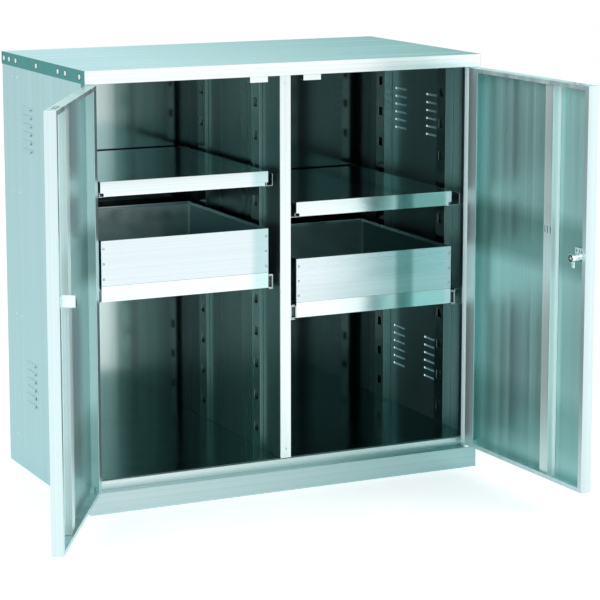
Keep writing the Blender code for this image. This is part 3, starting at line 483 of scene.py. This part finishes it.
# Sheet steels by look: colour, roughness, grain and contrast, then dents, metal share and bands of
# painted shade and reflection
STEELS = {
    "cover": ("cover_steel", (0.93, 0.98, 0.98), 0.24, "X", 0.04),
    "side": ("side_steel", (0.47, 0.65, 0.675), 0.45, "Z", 0.04),
    "back": ("back_steel", (0.78, 0.95, 0.91), 0.12, "Z", 0.14),
    "left_door": ("left_door_steel", DOOR_PALE, 0.36, "Z", 0.10),
    "right_door": ("right_door_steel", DOOR_PALE, 0.46, "Z", 0.10),
    "stiffener": ("stiffener_steel", (0.80, 0.93, 0.93), 0.40, "Z", 0.10),
    "frame": ("frame_steel", (0.82, 0.90, 0.90), 0.30, "Z", 0.03),
    "rail": ("rail_steel", (0.70, 0.80, 0.80), 0.26, "X", 0.05),
    "plinth": ("plinth_steel", (0.54, 0.68, 0.69), 0.30, "X", 0.05),
    "tray": ("tray_steel", (0.72, 0.80, 0.83), 0.30, "X", 0.03),
    "shelf": ("shelf_steel", (0.80, 0.88, 0.89), 0.14, "X", 0.04),
    "wall": ("wall_steel", (0.80, 0.94, 0.94), 0.36, "Y", 0.06),
    "upright": ("upright_steel", (0.30, 0.42, 0.40), 0.20, "Z", 0.12),
    "floor": ("floor_steel", (0.16, 0.27, 0.25), 0.16, "X", 0.10),
    "hardware": ("hardware_zinc", (0.74, 0.88, 0.88), 0.22, "none", 0.10),
    "strike": ("strike_sheet", WHITE, 0.35, "X", 0.04),
}
STEEL_EXTRAS = {
    "cover": {"waves": 0.0002, "bands": COVER_PAINTED_SHADE, "edge": COVER_EDGE_TINT},
    "side": {"waves": 0.0004, "bands": SIDE_PAINTED_SHADE},
    "back": {"waves": 0.0003, "bands": BACK_BANDS},
    "left_door": {"waves": 0.0003, "metallic": 0.85, "bands": LEFT_DOOR_PAINTED_SHADE},
    "right_door": {"waves": 0.0003, "metallic": 0.75, "bands": RIGHT_DOOR_PAINTED_SHADE},
    "stiffener": {"metallic": 0.6},
    "frame": {"bands": POST_PAINTED_SHADE},
    "rail": {"bands": RAIL_PAINTED_SHADE},
    "plinth": {"bands": RAIL_PAINTED_SHADE},
    "tray": {"bands": TRAY_PAINTED_REFLECTIONS},
    "shelf": {"bands": TRAY_PAINTED_REFLECTIONS},
    "wall": {"bands": WALL_PAINTED_SHADE},
    "floor": {"waves": 0.0003},
}
MOULDINGS = {
    "catch": ("catch_case", BLACK, 0.40),
    "plug": ("plug_plastic", WHITE, 0.45),
    "bumper": ("slide_bumper", (0.05, 0.06, 0.06), 0.55),
    # Near-black for holes, slots and gaps: painted shade where there is only a recess
    "dark": ("gap_painted_shade", (0.006, 0.014, 0.014), 0.60),
}
MATERIALS = {look: steel(*row, **STEEL_EXTRAS.get(look, {})) for look, row in STEELS.items()}
MATERIALS.update({look: moulded(*row) for look, row in MOULDINGS.items()})

# Look of each part, by the end of its name; any other part is zinc hardware
LOOK_OF_ENDING = (
    ("top_panel", "cover"),
    ("side_panel", "side"),
    ("back_panel", "back"),
    ("left_door_panel", "left_door"),
    ("right_door_panel", "right_door"),
    ("stiffener", "stiffener"),
    ("divider", "frame"),
    ("jamb", "frame"),
    ("bottom_rail", "rail"),
    ("plinth_front", "plinth"),
    ("drawer_front", "tray"),
    ("_shelf", "shelf"),
    ("drawer_tray", "shelf"),
    ("drawer_walls", "wall"),
    ("upright", "upright"),
    ("header_rail", "upright"),
    ("floor_panel", "floor"),
    ("catch_strike", "strike"),
    ("door_catch", "catch"),
)


def look_of(node):
    for ending, look in LOOK_OF_ENDING:
        if node.endswith(ending):
            return look
    return "hardware"


# Sheet parts with rounded folds in place of the sharp solids

# Parts that are turned or cast and keep their own mesh
ROUND_NODES = ("pivot", "lock", "rod", "cam")


def rounded(node):
    """Copy of a sheet part with every fold and edge rounded, which stands for the solid."""
    source = NODES[node]
    mesh = bpy.data.meshes.new(node + "_sheet")
    shape = bmesh.new()
    shape.from_mesh(source.data)
    bmesh.ops.remove_doubles(shape, verts=shape.verts, dist=FOLD_RADIUS * MERGE_SHARE)
    bmesh.ops.dissolve_limit(shape, angle_limit=FLAT_ANGLE, verts=shape.verts, edges=shape.edges)
    bmesh.ops.triangulate(shape, faces=shape.faces, ngon_method="EAR_CLIP")
    shape.to_mesh(mesh)
    shape.free()
    mesh.materials.clear()
    mesh.materials.append(MATERIALS[look_of(node)])
    piece = bpy.data.objects.new(node + "_sheet", mesh)
    bpy.context.scene.collection.objects.link(piece)
    mesh.shade_smooth()
    bevel = piece.modifiers.new("folds", "BEVEL")
    bevel.width = FOLD_RADIUS
    bevel.segments = FOLD_STEPS
    bevel.limit_method = "ANGLE"
    bevel.angle_limit = FOLD_ANGLE
    bevel.use_clamp_overlap = True
    even = piece.modifiers.new("flat_faces", "WEIGHTED_NORMAL")
    even.mode = "FACE_AREA"
    even.weight = FACE_WEIGHT
    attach(piece, source["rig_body"])
    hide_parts(node)


def dress_nodes():
    """Gives the turned parts their material and every other part a rounded copy."""
    for node, obj in NODES.items():
        if any(word in node for word in ROUND_NODES):
            obj.data.materials.clear()
            obj.data.materials.append(MATERIALS[look_of(node)])
        else:
            rounded(node)


# Turned and bent fittings

def link_piece(mesh, name, look, body):
    """Puts a finished mesh in the scene, riding on its body."""
    mesh.materials.append(MATERIALS[look])
    mesh.shade_smooth()
    mesh.set_sharp_from_angle(angle=FOLD_ANGLE)
    piece = bpy.data.objects.new(name, mesh)
    bpy.context.scene.collection.objects.link(piece)
    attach(piece, body)


def add_turned(shape, place, axis, profile, steps=ROUND_STEPS):
    """Adds a turned solid: the profile is radius and height along the axis, from foot to tip."""
    turn = Vector((0, 0, 1)).rotation_difference(Vector(axis)).to_matrix().to_4x4()
    matrix = Matrix.Translation(place) @ turn
    rings = []
    for radius, height in profile:
        ring = []
        for step in range(steps):
            angle = 2 * math.pi * step / steps
            point = Vector((radius * math.cos(angle), radius * math.sin(angle), height))
            ring.append(shape.verts.new(matrix @ point))
        rings.append(ring)
    for lower, upper in zip(rings, rings[1:]):
        for step in range(steps):
            after = (step + 1) % steps
            shape.faces.new((lower[step], lower[after], upper[after], upper[step]))
    shape.faces.new(rings[0][::-1])
    shape.faces.new(rings[-1])


def add_block(shape, middle, size, turn=None, edge=BLOCK_EDGE_SHARE):
    """Adds a block with rounded edges; the rounding is a share of its thinnest side."""
    matrix = Matrix.Translation(middle) @ (turn or Matrix.Identity(4))
    made = bmesh.ops.create_cube(shape, size=1, matrix=matrix @ Matrix.Diagonal((*size, 1)))
    edges = {link for vert in made["verts"] for link in vert.link_edges}
    bmesh.ops.bevel(
        shape,
        geom=list(edges),
        offset=min(size) * edge,
        segments=BLOCK_EDGE_STEPS,
        affect="EDGES",
        profile=BLOCK_EDGE_FORM,
    )


def finished(shape, name, look, body):
    """Turns a shape into a piece of the scene."""
    mesh = bpy.data.meshes.new(name)
    bmesh.ops.recalc_face_normals(shape, faces=shape.faces)
    shape.to_mesh(mesh)
    shape.free()
    link_piece(mesh, name, look, body)


def dome(radius, height):
    """Profile of a low round head."""
    profile = [(radius, -HEAD_FOOT), (radius, height * HEAD_SHOULDER)]
    for step in range(1, HEAD_STEPS):
        angle = math.pi / 2 * step / HEAD_STEPS
        rise = HEAD_SHOULDER + (1 - HEAD_SHOULDER) * math.sin(angle)
        profile.append((radius * math.cos(angle), height * rise))
    profile.append((radius * HEAD_TIP_SHARE, height))
    return profile


def disc(radius):
    """Profile of a thin dark disc that lies on a face: painted shade round a head."""
    return [(radius, -SKIN / 2), (radius, SHADE_DISC_HEIGHT)]


def cap(radius, height):
    """Profile of a push-in plug: a rounded rim round a shallow dish."""
    return [
        (radius * 0.80, -height),
        (radius, 0.0),
        (radius, height * 0.6),
        (radius * 0.92, height),
        (radius * 0.70, height),
        (radius * 0.62, height * 0.7),
        (radius * 0.05, height * 0.65),
    ]


def make_top_plugs():
    """Plugs in the holes of the cover's two side flanges, each in a near-black ring of painted shade."""
    for name, side in SIDES.items():
        shape = bmesh.new()
        plug_shade = bmesh.new()
        face = TOP_HIGH.x * side
        for share in TOP_HOLE_SHARES:
            place = Vector((face, TOP_LOW.y + DEPTH * share, TOP_LOW.z + LIP / 2))
            add_turned(shape, place, (side, 0, 0), cap(PLUG_RADIUS, PLUG_HEIGHT))
            add_turned(plug_shade, place, (side, 0, 0), disc(PLUG_SHADE_RADIUS))
        finished(shape, f"{name}_cover_plugs", "plug", "cabinet")
        finished(plug_shade, f"{name}_cover_plug_shade_rings", "dark", "cabinet")


def make_side_rivets():
    """Rivets down the rear part of each side."""
    for name, side in SIDES.items():
        shape = bmesh.new()
        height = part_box(f"{name}_side_panel")[1].z
        face = side * SIDE_PLANE
        for depth in RIVET_DEPTH_SHARES:
            for level in RIVET_LEVEL_SHARES:
                place = Vector((face, TOP_LOW.y + DEPTH * depth, height * level))
                add_turned(shape, place, (side, 0, 0), dome(RIVET_RADIUS, RIVET_HEIGHT))
        finished(shape, f"{name}_side_rivets", "hardware", "cabinet")


def make_drawer_rivets():
    """Rivets that hold each drawer's front plate and back to its side walls."""
    for name in SIDES:
        low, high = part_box(f"{name}_drawer_front")
        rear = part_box(f"{name}_drawer_walls")[1].y
        shape = bmesh.new()
        rings = bmesh.new()
        for share in DRAWER_RIVET_SHARES:
            level = low.z + (high.z - low.z) * share
            for x in (low.x + DRAWER_RIVET_INSET, high.x - DRAWER_RIVET_INSET):
                for y, way in ((low.y, -1), (rear, 1)):
                    place = Vector((x, y, level))
                    add_turned(shape, place, (0, way, 0), dome(DRAWER_RIVET, RIVET_HEIGHT))
                    # Near-black ring round each rivet: painted shade
                    add_turned(rings, place, (0, way, 0), disc(DRAWER_RING))
        finished(shape, f"{name}_drawer_rivets", "hardware", f"{name}_drawer")
        finished(rings, f"{name}_drawer_rivet_rings", "dark", f"{name}_drawer")


def make_drawer_hems():
    """Rolled hems along the top edges of each drawer's walls and front plate."""
    for name in SIDES:
        low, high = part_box(f"{name}_drawer_walls")
        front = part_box(f"{name}_drawer_front")[1].y
        shape = bmesh.new()
        top = high.z - HEM_HEIGHT / 2
        along = (HEM * 2, high.y - low.y - 2 * HEM, HEM_HEIGHT)
        across = (high.x - low.x - 4 * HEM, HEM * 2, HEM_HEIGHT)
        for x in (low.x + HEM, high.x - HEM):
            add_block(shape, Vector((x, (low.y + high.y) / 2, top)), along, edge=HEM_EDGE_SHARE)
        for y in (front + HEM, high.y - HEM):
            add_block(shape, Vector(((low.x + high.x) / 2, y, top)), across, edge=HEM_EDGE_SHARE)
        finished(shape, f"{name}_drawer_hems", "tray", f"{name}_drawer")


def make_slide_details():
    """Bumpers at the front of the slides, and holes along their moving channels."""
    for name, side in SIDES.items():
        for wall in ("outer", "inner"):
            low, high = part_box(f"{name}_{wall}_drawer_slide")
            away = side if wall == "outer" else -side
            middle = (low.z + high.z) / 2
            near = low.x if away > 0 else high.x
            # Each hole is a near-black disc on the channel: painted shade in place of an open hole
            holes = bmesh.new()
            for share in SLIDE_HOLE_SHARES:
                place = Vector((near + away * SLIDE_WEB, low.y + (high.y - low.y) * share, middle))
                profile = [(SLIDE_HOLE, -SKIN / 4), (SLIDE_HOLE, SHADE_DISC_HEIGHT)]
                add_turned(holes, place, (away, 0, 0), profile)
            finished(holes, f"{name}_{wall}_slide_holes", "dark", f"{name}_drawer")
            shape = bmesh.new()
            width = (high.x - low.x) * BUMPER_WIDTH_SHARE
            x = (low.x + high.x) / 2 + away * width * BUMPER_SHIFT_SHARE
            place = Vector((x, low.y + BUMPER_LENGTH / 2 + SLIDE_WEB, middle))
            size = (width, BUMPER_LENGTH, (high.z - low.z) * BUMPER_HEIGHT_SHARE)
            add_block(shape, place, size)
            finished(shape, f"{name}_{wall}_slide_bumper", "bumper", f"{name}_drawer")


def make_post_screws():
    """Screws at the foot and head of the middle post and of the two jambs."""
    shape = bmesh.new()
    slots = bmesh.new()
    slot_size = (SCREW_RADIUS * SCREW_SLOT_LENGTH_SHARE, SKIN / 2, SCREW_RADIUS * SCREW_SLOT_WIDTH_SHARE)
    for node in ("divider", "left_jamb", "right_jamb"):
        low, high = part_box(node)
        x = (low.x + high.x) / 2
        for level in (low.z + POST_SCREW_LOW, TOP_LOW.z - POST_SCREW_HIGH):
            place = Vector((x, low.y, level))
            add_turned(shape, place, (0, -1, 0), dome(SCREW_RADIUS, SCREW_HEIGHT))
            # Each slot is a near-black block on the head: painted shade in place of a cut slot
            add_block(slots, place + Vector((0, -SCREW_HEIGHT, 0)), slot_size)
    finished(shape, "post_screws", "hardware", "cabinet")
    finished(slots, "post_screw_slots", "dark", "cabinet")


def make_catch_balls():
    """Pale ball and two pale marks on each black catch."""
    for name in SIDES:
        low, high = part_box(f"{name}_door_catch")
        middle = (low + high) / 2
        shape = bmesh.new()
        ball = []
        for step in range(BALL_STEPS):
            angle = math.pi / 2 * step / BALL_STEPS
            ball.append((CATCH_BALL * math.cos(angle), CATCH_BALL * math.sin(angle)))
        ball.append((CATCH_BALL * BALL_TIP_SHARE, CATCH_BALL))
        place = Vector((middle.x, middle.y, high.z + BALL_OVER - CATCH_BALL))
        add_turned(shape, place, (0, 0, 1), ball)
        finished(shape, f"{name}_catch_ball", "plug", f"{name}_door")
        screws = bmesh.new()
        along = Vector(DOOR_WAYS[name])
        for share in (-CATCH_SCREW_SHARE, CATCH_SCREW_SHARE):
            place = Vector((middle.x, middle.y, high.z - BALL_PROUD)) + along * CATCH_LENGTH * share
            add_turned(screws, place, (0, 0, 1), dome(CATCH_SCREW, SKIN / 2))
        finished(screws, f"{name}_catch_screws", "strike", f"{name}_door")


def make_lock_details():
    """Ring and screw on the end of the cam, bezel and key slot outside, and bars on the case."""
    along = Vector(DOOR_WAYS["right"])
    inwards = Vector(DOOR_INWARDS["right"])
    tip = LOCK_AXIS + inwards * CAM_END
    # Near-black ring on the cam's end: painted shade
    ring = bmesh.new()
    add_turned(ring, tip, inwards, [(LOCK_RADIUS * radius, SKIN * height) for radius, height in CAM_RING])
    finished(ring, "lock_cam_ring", "dark", "lock_cam")
    screw = bmesh.new()
    head = dome(LOCK_RADIUS * LOCK_SCREW_RADIUS_SHARE, SKIN * LOCK_SCREW_HEIGHT_SHARE)
    add_turned(screw, tip, inwards, head)
    finished(screw, "lock_cam_screw", "hardware", "lock_cam")
    bezel = bmesh.new()
    profile = [(LOCK_RADIUS * radius, SKIN * height) for radius, height in LOCK_BEZEL]
    add_turned(bezel, LOCK_AXIS - inwards * DOOR_FACE, -inwards, profile, steps=BEZEL_STEPS)
    finished(bezel, "lock_bezel", "hardware", "right_door")
    # The key slot is a near-black block on the face: painted shade in place of an open slot
    slot = bmesh.new()
    turn = inwards.to_track_quat("Y", "Z").to_matrix().to_4x4()
    slot_size = (SKIN * KEY_SLOT_WIDTH_SHARE, SKIN, LOCK_RADIUS * KEY_SLOT_LENGTH_SHARE)
    add_block(slot, LOCK_AXIS - inwards * KEY_FACE, slot_size, turn)
    finished(slot, "lock_key_slot", "dark", "right_door")
    # Near-black bars on the case: painted shade
    bars = bmesh.new()
    plate = LOCK_AXIS + inwards * PLATE_TOP + Vector((0, 0, LOCK_BAR_LIFT))
    for share in LOCK_BAR_SHARES:
        place = plate + along * share * LOCK_PLATE_LENGTH
        add_block(bars, place, (SKIN * LOCK_BAR_WIDTH_SHARE, SKIN, LOCK_BAR_HEIGHT), turn)
    finished(bars, "lock_case_bars", "dark", "right_door")


# Camera, light and ground

def make_camera():
    camera = bpy.data.cameras.new("camera")
    camera.sensor_width = SENSOR_WIDTH
    camera.lens = CAMERA_LENS
    camera.shift_y = CAMERA_SHIFT
    camera.clip_end = VIEW_REACH
    obj = bpy.data.objects.new("camera", camera)
    bpy.context.scene.collection.objects.link(obj)
    obj.location = CAMERA_PLACE
    obj.rotation_euler = (math.pi / 2 - CAMERA_PITCH, 0, -CAMERA_YAW)
    bpy.context.scene.camera = obj


def make_lamp(name, place, size, power):
    light = bpy.data.lights.new(name, "AREA")
    light.shape = "SQUARE"
    light.size = size
    light.energy = power
    obj = bpy.data.objects.new(name, light)
    bpy.context.scene.collection.objects.link(obj)
    obj.location = place
    turn = (Vector(LAMP_TARGET) - Vector(place)).to_track_quat("-Z", "Y")
    obj.rotation_euler = turn.to_euler()


def seen_rays(tree):
    """1 for the rays that show the surroundings: straight, mirrored or through glass."""
    rays = add_node(tree, "ShaderNodeLightPath")
    seen = add_node(tree, "ShaderNodeMath", operation="MAXIMUM")
    seen_all = add_node(tree, "ShaderNodeMath", operation="MAXIMUM")
    tree.links.new(rays.outputs["Is Camera Ray"], seen.inputs[0])
    tree.links.new(rays.outputs["Is Glossy Ray"], seen.inputs[1])
    tree.links.new(seen.outputs[0], seen_all.inputs[0])
    tree.links.new(rays.outputs["Is Transmission Ray"], seen_all.inputs[1])
    return seen_all.outputs[0]


def make_world():
    """Plain white surroundings that light the cabinet a little less than they show."""
    world = bpy.data.worlds.new("studio")
    bpy.context.scene.world = world
    world.use_nodes = True
    tree = world.node_tree
    background = tree.nodes["Background"]
    strength = add_node(tree, "ShaderNodeMapRange")
    strength.inputs["To Min"].default_value = WORLD_LIGHT
    strength.inputs["To Max"].default_value = 1.0
    tree.links.new(seen_rays(tree), strength.inputs["Value"])
    tree.links.new(strength.outputs["Result"], background.inputs["Strength"])
    background.inputs["Color"].default_value = (1, 1, 1, 1)


def make_ground():
    """Pale paper that takes the cabinet's shadow."""
    shape = bmesh.new()
    bmesh.ops.create_grid(shape, x_segments=GROUND_CELLS, y_segments=GROUND_CELLS, size=GROUND_HALF)
    mesh = bpy.data.meshes.new("ground")
    shape.to_mesh(mesh)
    shape.free()
    ground = bpy.data.objects.new("ground", mesh)
    bpy.context.scene.collection.objects.link(ground)
    material, tree, shader = new_material("ground_paper")
    shader.inputs["Base Color"].default_value = (*GROUND_COLOUR, 1)
    shader.inputs["Roughness"].default_value = GROUND_ROUGHNESS
    shader.inputs["Specular IOR Level"].default_value = 0
    glow = add_node(tree, "ShaderNodeEmission")
    glow.inputs["Strength"].default_value = GROUND_GLOW
    blend = add_node(tree, "ShaderNodeAddShader")
    share = add_node(tree, "ShaderNodeMixShader")
    tree.links.new(shader.outputs["BSDF"], blend.inputs[0])
    tree.links.new(glow.outputs["Emission"], blend.inputs[1])
    tree.links.new(seen_rays(tree), share.inputs["Fac"])
    tree.links.new(shader.outputs["BSDF"], share.inputs[1])
    tree.links.new(blend.outputs["Shader"], share.inputs[2])
    tree.links.new(share.outputs["Shader"], tree.nodes["Material Output"].inputs["Surface"])
    mesh.materials.append(material)


bpy.context.scene.view_settings.view_transform = "Standard"
make_camera()
make_world()
make_ground()
make_lamp("key", KEY_PLACE, KEY_SIZE, KEY_POWER)
make_lamp("fill", FILL_PLACE, FILL_SIZE, FILL_POWER)
dress_nodes()
make_top_plugs()
make_side_rivets()
make_drawer_rivets()
make_drawer_hems()
make_slide_details()
make_post_screws()
make_catch_balls()
make_lock_details()
